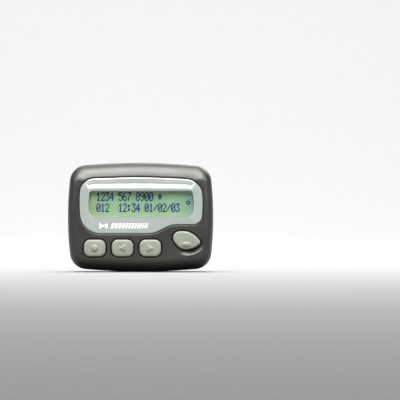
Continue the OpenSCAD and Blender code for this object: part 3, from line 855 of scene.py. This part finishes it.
DOTS = {
    "0": "01110 10001 10011 10101 11001 10001 01110", "1": "00100 01100 00100 00100 00100 00100 01110",
    "2": "01110 10001 00001 00010 00100 01000 11111", "3": "11111 00010 00100 00010 00001 10001 01110",
    "4": "00010 00110 01010 10010 11111 00010 00010", "5": "11111 10000 11110 00001 00001 10001 01110",
    "6": "00110 01000 10000 11110 10001 10001 01110", "7": "11111 00001 00010 00100 01000 01000 01000",
    "8": "01110 10001 10001 01110 10001 10001 01110", "9": "01110 10001 10001 01111 00001 00010 01100",
    ":": "00000 01100 01100 00000 01100 01100 00000", "/": "00000 00001 00010 00100 01000 10000 00000",
    "+": "00000 00100 10101 01110 10101 00100 00000", " ": "00000 " * 7,
}
ROWS = [("1234 567 8900 +", 35.0, 39.3), ("012  12:34 01/02/03", 29.5, 33.75)]
CELL, FIRST_X = 2.17, -21.7     # from one character to the next, and the first one's left edge
DOT_W, DOT_SPREAD = 0.385, 0.09


def merged(s, rects, z0, z1):
    """Raised print: the union of upright rectangles (x0, y0, x1, y1), as one closed shape."""
    xs = sorted({round(v, 4) for r in rects for v in (r[0], r[2])})
    ys = sorted({round(v, 4) for r in rects for v in (r[1], r[3])})
    full = set()
    for x0, y0, x1, y1 in rects:
        for i in range(xs.index(round(x0, 4)), xs.index(round(x1, 4))):
            for j in range(ys.index(round(y0, 4)), ys.index(round(y1, 4))):
                full.add((i, j))
    ids = {}

    def corner(i, j, z):
        if (i, j, z) not in ids:
            ids[i, j, z] = s.points([(xs[i], ys[j], z)])[0]
        return ids[i, j, z]

    for i, j in full:
        square = [(i, j), (i + 1, j), (i + 1, j + 1), (i, j + 1)]
        s.face([corner(a, b, z1) for a, b in square])
        s.face([corner(a, b, z0) for a, b in square])
        around = [(i, j - 1), (i + 1, j), (i, j + 1), (i - 1, j)]
        for a, b, beyond in zip(square, square[1:] + square[:1], around):
            if beyond not in full:
                s.face([corner(*a, z0), corner(*b, z0), corner(*b, z1), corner(*a, z1)])


def lcd_segments():
    """The display's lit picture elements, a character at a time."""
    s = Mesh()
    low, high = LCD_Z + 0.005, LCD_Z + 0.03
    for text, y0, y1 in ROWS:
        dy = (y1 - y0) / 7
        for i, ch in enumerate(text):
            rects = []
            for r, line in enumerate(DOTS[ch].split()):
                for c, on in enumerate(line):
                    if on == "1":
                        x, y = FIRST_X + i * CELL + c * DOT_W, y1 - (r + 1) * dy
                        rects.append((x - DOT_SPREAD, y - 0.01, x + DOT_W + DOT_SPREAD, y + dy + 0.01))
            merged(s, rects, low, high)
    # a small ring between the rows, at the right
    dots = circle((23.6, 34.1), 0.75, 8)
    merged(s, [(x - 0.3, y - 0.3, x + 0.3, y + 0.3) for x, y in dots], low, high)
    return s.make("lcd_segments", [M["ink"]], sharp=30)


def plate(name, material, loop, rows, step):
    """A flat plate: one ring for each (growth, z), closed at both ends."""
    s = Mesh()
    rings = [s.ring(grown(loop, by), z) for by, z in rows]
    s.loft(rings)
    s.face(rings[0])
    by, top = rows[-1]
    end = grown(loop, by)
    patch(s, rings[-1], [], end, [], grid_points(end, [], step), lambda p: np.full(len(p), top))
    return s.make(name, [M[material]], sharp=30)


def lcd_sheet():
    """The polariser that is seen through the window."""
    lo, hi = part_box("lcd_polariser")
    loop = round_box(lo.x / MM, hi.x / MM, lo.z / MM, hi.z / MM, 0.4, 4)
    rows = [(0.0, 15.10), (0.0, LCD_Z - 0.03), (-0.04, LCD_Z)]
    return plate("lcd_sheet", "lcd", resample(loop, 0.8), rows, 2.0)


def window_pane():
    loop = resample(grown(resample(WINDOW, 0.5), 0.5), 0.7)
    return plate("window_pane", "window", loop, [(0.0, 16.32), (0.0, 16.9), (-0.06, 16.97)], 2.5)


M["window"] = clear("window_acrylic", (0.03, 0.035, 0.03), 0.04, 0.03, 0.06, Alpha=0.06, IOR=1.49)
for o, nodes, slot in [
    (lcd_sheet(), ["lcd_polariser"], "lcd_green"),
    (lcd_segments(), [], "case_back"),
    (window_pane(), ["display_window"], "window_clear"),
]:
    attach(o, "case")
    if nodes:
        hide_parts(*nodes)

# ---------------- printed mark on the bezel


def surface_height(obj):
    """A function that gives the height of a piece's front surface over points of the case frame."""
    me = obj.data
    tree = BVHTree.FromPolygons([v.co for v in me.vertices], [tuple(p.vertices) for p in me.polygons])
    start = 25.0       # z of the rays' start, in front of every piece

    def f(p):
        hits = [tree.ray_cast(Vector(world((x, y, start))), Vector((0, 1, 0))) for x, y in p]
        return np.array([BACK_Y - hit[0].y / MM for hit in hits])
    return f


def decal(s, loop, height, thick=0.02, step=0.45):
    """A thin printed shape that lies on a curved surface."""
    loop = resample(loop, 0.16)
    top = s.ring(loop, height(loop) + thick)
    low = s.ring(loop, height(loop) + thick * 0.2)
    s.bridge(low, top)
    patch(s, top, [], loop, [], grid_points(loop, [], step), lambda p: height(p) + thick)
    patch(s, low, [], loop, [], NO_POINTS, None)


def arc_band(at, r, width, a0, a1, steps=14):
    a = np.radians(np.linspace(a0, a1, steps))
    ray = np.column_stack([np.cos(a), np.sin(a)])
    return np.vstack([at + (r + width / 2) * ray, (at + (r - width / 2) * ray)[::-1]])


def printed_mark():
    """A generic device: radio waves from a dot, then slanted bars that shrink away."""
    s = Mesh()
    height = surface_height(bezel_piece)
    at = np.array([-18.2, 22.75])
    decal(s, circle(at, 0.5, 20), height)
    for r in (1.15, 1.9):
        for turn in (0, 180):
            decal(s, arc_band(at, r, 0.42, turn - 42, turn + 42), height)
    x, lean, gap, low, high = -14.6, 0.75, 0.62, 21.5, 24.0
    for i in range(13):
        w = 1.25 - 0.075 * i
        bar = [(x, low), (x + w, low), (x + w + lean, high), (x + lean, high)]
        decal(s, np.array(bar), height)
        x += w + gap
    return s.make("bezel_print", [M["print"]], sharp=30)


M["print"] = grained("print_white", (0.62, 0.62, 0.61), 0.4, 6000, 0.004, 0.04, 0.04, 0.2)
mark = printed_mark()
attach(mark, "case")

# ---------------- rear housing


def prism(loop, z0, z1):
    """An upright solid, to be joined to a shell or cut from it."""
    s = Mesh()
    s.prism(loop, z0, z1)
    return s.make("tool", [M["rear"]], sharp=0)


def slab(x, y, z):
    return prism(np.array(box_loop(*x, *y)), *z)


def disc(at, r, z):
    return prism(circle(at, r, 48), *z)


def capsule(x, y, r, z):
    return prism(round_box(*x, y - r, y + r, r * 0.98, 6), *z)


def bake(o):
    """Puts the outcome of a piece's modifiers in place of its mesh."""
    view = bpy.context.evaluated_depsgraph_get()
    me = bpy.data.meshes.new_from_object(o.evaluated_get(view))
    o.modifiers.clear()
    o.data = me


def combine(target, tools, how):
    """Joins the tools to the target, or cuts them from it, and removes them."""
    for t in tools:
        m = target.modifiers.new("step", "BOOLEAN")
        m.operation = how
        m.solver = "MANIFOLD"
        m.object = t
    bake(target)
    for t in tools:
        bpy.data.objects.remove(t)


def level_normals(o):
    """Keeps the shading of large flats level where they run into rounded edges."""
    o.modifiers.new("level", "WEIGHTED_NORMAL").keep_sharp = True
    bake(o)


SCREWS = [(-29.2, 6.8), (-29.2, 47.2), (16.3, 5.3), (16.3, 48.7)]
BACK_IN, BACK_UP = 3.0, 4.0     # width and height of the rounding at the edge of the back


def rear_form(inset, bottom, top_steps, rising):
    """Rows of (inset, z) for the rear half, from the parting line down to the flat back."""
    rows = [(inset + i, z) for i, z in top_steps]
    for k in range(rising + 1):
        a = math.pi / 2 * k / rising
        rows.append((inset + BACK_IN * (1 - math.cos(a)), bottom + BACK_UP * (1 - math.sin(a))))
    return rows


def rear_housing():
    s = Mesh()
    lip = SPLIT - 0.02
    outer = rim_rings(s, rear_form(0, 0, [(0.16, lip), (0.03, SPLIT - 0.1), (0, SPLIT - 0.3), (0, 7)], 16))
    s.face(outer[-1])
    inner = rim_rings(s, rear_form(WALL, WALL, [(0, lip), (0, 7)], 8))
    s.face(inner[-1])
    s.loft(outer)
    s.loft(inner)
    s.bridge(outer[0], inner[0])
    shell = s.make("case_rear", [M["rear"]], sharp=0)
    # screw posts, the battery bay's wall, the rib by the door, and the clip's rail
    posts = [disc(p, 2.3, (1.2, lip)) for p in SCREWS]
    combine(shell, posts + [
        slab((18.9, 19.9), (3.4, 50.6), (0.8, 12.5)),
        slab((31.0, 33.4), (8, 46), (0.4, 2.8)),
        slab((-3, 3), (16, 42), (-1.3, 0.8)),
        slab((-5, 5), (16, 42), (-1.7, -0.9)),
    ], "UNION")
    # the door's opening and grooves, the bay, the lock's run and pocket, and the label's recess
    cuts = [
        slab((19.55, 31.65), (4.45, 56), (-1, 1.4)),
        slab((18.95, 32.25), (9.8, 56), (0.6, 1.4)),
        slab((20.3, 30.9), (5.8, 50.2), (0.5, 3)),
        slab((27.8, 31), (44, 56), (0.3, 2.15)),
        slab((29.9, 33.1), (10.3, 14.9), (1.3, 2.2)),
        prism(round_box(-31, -14, 22, 46, 1.2, 6), -1, 0.25),
    ]
    # screw heads and shanks, and the sound slots
    cuts += [disc(p, 1.75, (-1, 2.2)) for p in SCREWS]
    cuts += [disc(p, 1.0, (2.0, 12.6)) for p in SCREWS]
    cuts += [capsule((-26, -18), 12 + 1.8 * i, 0.4, (-1, 2.6)) for i in (-2, -1, 0, 1, 2)]
    combine(shell, cuts, "DIFFERENCE")
    me = shell.data
    me.shade_smooth()
    me.set_sharp_from_angle(angle=math.radians(28))
    level_normals(shell)
    return shell


rear = rear_housing()
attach(rear, "case")
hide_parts("rear_housing")

# ---------------- door, lock, clip and small parts


def door_form():
    """The battery door: a strip of the rear half's own form.

    It has side tongues, a lock slot and grip lines.
    """
    s = Mesh()
    rings = rim_rings(s, rear_form(0, 0, [(0, 7)], 16))
    s.loft(rings)
    s.face(rings[0])
    s.face(rings[-1])
    door = s.make("door_form", [M["rear"]], sharp=0)
    combine(door, [slab((19.7, 31.5), (4.6, 56), (-1, 1.3))], "INTERSECT")
    combine(door, [slab((19.1, 32.1), (10, 44), (0.75, 1.3))], "UNION")
    cuts = [slab((27.9, 30.9), (11.4, 13.8), (-1, 2.3))]
    cuts += [slab((22.2, 29), (41 + i * 1.5, 41.6 + i * 1.5), (-1, 0.3)) for i in range(5)]
    combine(door, cuts, "DIFFERENCE")
    me = door.data
    bpy.data.objects.remove(door)
    return me


def softened(name, src, material, width=0.2, segments=2, angle=30, sharp=32):
    """A copy of a mesh with its sharp edges rounded over."""
    bm = bmesh.new()
    bm.from_mesh(src)
    bmesh.ops.remove_doubles(bm, verts=bm.verts, dist=2e-6)
    bmesh.ops.dissolve_limit(bm, angle_limit=math.radians(1.0), verts=bm.verts, edges=bm.edges,
                             use_dissolve_boundaries=False)
    edges = [e for e in bm.edges if len(e.link_faces) == 2 and e.calc_face_angle(0) > math.radians(angle)]
    bmesh.ops.bevel(bm, geom=edges, offset=width * MM, offset_type="OFFSET", segments=segments, profile=0.5,
                    affect="EDGES", clamp_overlap=True)
    bmesh.ops.recalc_face_normals(bm, faces=bm.faces)
    me = bpy.data.meshes.new(name)
    bm.to_mesh(me)
    bm.free()
    me.shade_smooth()
    me.set_sharp_from_angle(angle=math.radians(sharp))
    me.materials.clear()
    me.materials.append(material)
    for p in me.polygons:
        p.material_index = 0
    o = bpy.data.objects.new(name, me)
    bpy.context.scene.collection.objects.link(o)
    level_normals(o)
    return o


for name, node, body, key, slot, width, segments in [
    ("door_cover", "battery_door", "door", "rear", "case_back", 0.12, 2),
    ("door_slider", "battery_lock", "door_lock", "clip", "clip_black", 0.15, 2),
    ("clip_base", "clip_carrier", "clip_mount", "clip", "clip_black", 0.25, 2),
    ("clip_blade", "clip_lever", "clip_arm", "clip", "clip_black", 0.35, 3),
]:
    src = door_form() if node == "battery_door" else frame["nodes"][node].data
    o = softened(name, src, M[key], width, segments)
    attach(o, body)
    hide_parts(node)


def label_rules():
    """Ruled lines and empty boxes on the blank label."""
    s = Mesh()
    left, right, low, high, line = -30.0, -15.0, 22.95, 45.05, 0.15
    # the border, then four lines across, an upright one, and two short ones
    lines = [((left, right), (high - line, high)), ((left, right), (low, low + line)),
             ((left, left + line), (low + line, high - line)),
             ((right - line, right), (low + line, high - line))]
    for y in (41.6, 38.4, 35.2, 29.4):
        lines.append(((left + line, right - line), (y, y + 0.12)))
    lines += [((-22.6, -22.48), (29.52, 35.2)), ((-28.6, -19.4), (25.2, 25.32)),
              ((-28.6, -19.4), (27.5, 27.62))]
    for x, y in lines:
        s.prism(box_loop(*x, *y), 0.045, 0.02)
    return s.make("label_rules", [M["rule"]], sharp=30)


M["rule"] = grained("rule_ink", (0.03, 0.03, 0.032), 0.5, 6000, 0.003, 0.1, 0.05, 0.2)
rules = label_rules()
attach(rules, "case")

# ---------------- materials of the CAD nodes that stay


def circuit_material():
    """Solder mask over copper tracks: cell edges stand a little proud and lighter."""
    m, nt, b = new_material("solder_mask", (0.01, 0.09, 0.035), 0.3)
    cells = nt.nodes.new("ShaderNodeTexVoronoi")
    cells.distance = "MANHATTAN"
    cells.feature = "F1"
    cells.inputs["Scale"].default_value = 420
    cells.inputs["Randomness"].default_value = 0.55
    nt.links.new(coords(nt), cells.inputs["Vector"])
    tone = ramp(nt, cells.outputs["Distance"], [(0.42, (0.008, 0.07, 0.026)), (0.5, (0.02, 0.17, 0.065))])
    nt.links.new(tone, b.inputs["Base Color"])
    bump(nt, [(tone, 0.03, 0.5)], b)
    return m


def striped(name, dark, light, scale, rough=0.5):
    m, nt, b = new_material(name, light, rough)
    wave = nt.nodes.new("ShaderNodeTexWave")
    wave.bands_direction = "X"
    wave.inputs["Scale"].default_value = scale
    wave.inputs["Distortion"].default_value = 0.1
    nt.links.new(coords(nt), wave.inputs["Vector"])
    nt.links.new(ramp(nt, wave.outputs["Fac"], [(0.45, dark), (0.55, light)]), b.inputs["Base Color"])
    return m


def cell_wrap_material():
    """Shrink sleeve of a plain cell: blue, with a pale band near the positive end."""
    m, nt, b = new_material("cell_sleeve", (0.03, 0.09, 0.20), 0.28)
    blue, pale = (0.022, 0.075, 0.17), (0.42, 0.44, 0.45)
    tone = ramp(nt, along(nt, "Z", 6, 50), [
        (0.03, (0.40, 0.41, 0.41)), (0.04, blue), (0.78, blue), (0.79, pale), (0.90, pale), (0.91, blue)])
    nt.links.new(tone, b.inputs["Base Color"])
    bump(nt, [(noise(nt, 300, 3.0, 0.6, (1, 1, 0.25)), 0.03, 0.3)], b)
    return m


STEEL, NICKEL, TIN = (0.56, 0.57, 0.58), (0.66, 0.63, 0.57), (0.60, 0.61, 0.60)
M.update({
    "silicone": grained("silicone_grey", (0.30, 0.31, 0.31), 0.6, 2600, 0.02, 0.06, 0.06),
    "carbon": grained("carbon_pill", (0.014, 0.014, 0.015), 0.75, 5200, 0.02, 0.15, 0.05),
    "gold": brushed("gold_plate", (0.80, 0.56, 0.24), 0.3),
    "board": circuit_material(),
    "white": grained("frame_white", (0.55, 0.55, 0.53), 0.5, 4200, 0.015, 0.04, 0.06),
    "glass": clear("display_glass", (0.55, 0.68, 0.55), 0.08, 0.05, 0.11, Alpha=0.35),
    "pale": grained("backlight_sheet", (0.50, 0.60, 0.48), 0.45, 900, 0.01, 0.05, 0.06),
    "zebra": striped("zebra_rubber", (0.02, 0.02, 0.02), (0.55, 0.22, 0.20), 2400),
    "steel": brushed("steel", STEEL, 0.28),
    "tungsten": brushed("tungsten", (0.38, 0.38, 0.39), 0.42, (30, 1, 30), 700),
    "tinned": brushed("tinned_steel", TIN, 0.34, (40, 1, 1), 500),
    "rubber": grained("black_rubber", (0.018, 0.018, 0.018), 0.72, 3200, 0.03, 0.12, 0.06),
    "buzzer": grained("buzzer_black", (0.020, 0.020, 0.021), 0.4, 4600, 0.02, 0.12, 0.08),
    "bronze": brushed("phosphor_bronze", (0.62, 0.42, 0.22), 0.34),
    "chip": grained("epoxy_black", (0.017, 0.017, 0.018), 0.58, 4200, 0.02, 0.12, 0.06),
    "ceramic": grained("ceramic_tan", (0.42, 0.30, 0.17), 0.5, 3600, 0.015, 0.1, 0.06),
    "wrap": cell_wrap_material(),
    "nickel": brushed("nickel", NICKEL, 0.26),
    "label": grained("label_foil", (0.42, 0.43, 0.43), 0.42, 2600, 0.01, 0.04, 0.08, 0.3),
})
WEARS = {
    "silicone": ["key_membrane", "dome_select", "dome_left", "dome_right", "dome_read"],
    "carbon": ["pill_select", "pill_left", "pill_right", "pill_read"],
    "gold": ["contact_pads"], "board": ["circuit_board"], "white": ["lcd_frame"],
    "glass": ["lcd_front_glass", "lcd_rear_glass"], "pale": ["lcd_backlight"], "zebra": ["zebra_strips"],
    "steel": ["vibration_motor", "motor_shaft", "clip_pin", "clip_spring", "case_screws", "crystal"],
    "tungsten": ["eccentric_weight"], "rubber": ["motor_boot"], "buzzer": ["buzzer"],
    "bronze": ["loop_antenna"],
    "tinned": ["rf_shield"], "chip": ["processor_chip"], "ceramic": ["capacitors"], "wrap": ["cell_can"],
    "nickel": ["cell_terminal", "battery_spring", "battery_plate"], "label": ["rating_label"],
}
for key, nodes in WEARS.items():
    for n in nodes:
        for part in frame["nodes"][n].material_slots:
            part.material = M[key]

# ---------------- stage, camera and light

VIEW_W = 198.118                # width of what the picture shows, in mm, at the depth below
VIEW_Z = 11.0                   # that depth, as a z of the case frame
VIEW_AT = (29.4205, 8.4695)     # the picture's middle, to the right of the case's and above it
CAMERA_FAR = 1600.0
SENSOR = 36
cam_data = bpy.data.cameras.new("camera")
camera = bpy.data.objects.new("camera", cam_data)
bpy.context.scene.collection.objects.link(camera)
cam_data.sensor_width = SENSOR
cam_data.lens = SENSOR * CAMERA_FAR / VIEW_W
camera.location = world((VIEW_AT[0], CASE_H / 2 + VIEW_AT[1], VIEW_Z + CAMERA_FAR))
camera.rotation_euler = (math.pi / 2, 0, 0)
cam_data.clip_start, cam_data.clip_end = 0.01, 20
bpy.context.scene.camera = camera


def backdrop():
    """Floor that curves up into a wall far behind."""
    me = bpy.data.meshes.new("backdrop")
    bend, radius = 1.2, 0.8
    prof = [(-3.0, 0.0), (bend, 0.0)]
    for k in range(1, 13):
        a = math.pi / 2 * k / 12
        prof.append((bend + radius * math.sin(a), radius - radius * math.cos(a)))
    prof.append((bend + radius, 4.0))
    v = [(x, y, z) for y, z in prof for x in (-4, 4)]
    f = [(2 * i, 2 * i + 1, 2 * i + 3, 2 * i + 2) for i in range(len(prof) - 1)]
    me.from_pydata(v, [], f)
    me.shade_smooth()
    o = bpy.data.objects.new("backdrop", me)
    bpy.context.scene.collection.objects.link(o)
    me.materials.append(grained("backdrop_paper", (0.82, 0.82, 0.81), 0.9, 300, 0.01, 0.01, 0.02))
    return o


floor = backdrop()


def area(name, at, aim, size, power, color=(1, 1, 1)):
    data = bpy.data.lights.new(name, "AREA")
    data.shape = "RECTANGLE"
    data.size, data.size_y = size
    data.energy = power
    data.color = color
    o = bpy.data.objects.new(name, data)
    o.location = at
    o.rotation_mode = "QUATERNION"
    o.rotation_quaternion = (Vector(aim) - Vector(at)).to_track_quat("-Z", "Y")
    bpy.context.scene.collection.objects.link(o)
    return o


def only(light, targets, state):
    """Links a light to the targets alone (INCLUDE), or to everything but them (EXCLUDE)."""
    group = bpy.data.collections.new(light.name + "_receivers")
    for t in targets:
        group.objects.link(t)
    light.light_linking.receiver_collection = group
    for c in group.collection_objects:
        c.light_linking.link_state = state


# A broad overhead softbox lights the object; the floor and wall have lights of their own.
for light in (
    area("top_soft", (0.0, -0.49, 0.78), (0, 0, 0.03), (1.0, 0.74), 40, (0.985, 1.0, 0.93)),
    area("front_strip", (0.0, -0.92, 0.47), (0, 0, 0.03), (0.9, 0.13), 2.3),
    area("left_fill", (-0.85, -0.50, 0.52), (0, 0, 0.03), (0.3, 0.5), 6.0),
    area("right_fill", (0.85, -0.50, 0.52), (0, 0, 0.03), (0.3, 0.5), 7.5),
    area("crown_soft", (0.0, 0.30, 0.86), (0, 0, 0.04), (1.0, 0.45), 4.5),
    area("rear_soft", (0.35, 0.95, 0.75), (0, 0, 0.03), (0.9, 0.5), 9),
):
    only(light, [floor], "EXCLUDE")
for light in (
    area("wall_wash", (0.0, 0.6, 1.6), (0, 1.9, 0.6), (2.5, 0.6), 24),
    area("floor_wash", (0.0, 0.30, 1.2), (0, 0.35, 0.0), (1.0, 0.5), 13),
):
    only(light, [floor], "INCLUDE")

studio = bpy.data.worlds.new("studio")
bpy.context.scene.world = studio
studio.use_nodes = True
sky = studio.node_tree.nodes["Background"]
sky.inputs["Color"].default_value = (0.92, 0.95, 1, 1)
sky.inputs["Strength"].default_value = 0.185
bpy.context.scene.view_settings.view_transform = "Standard"
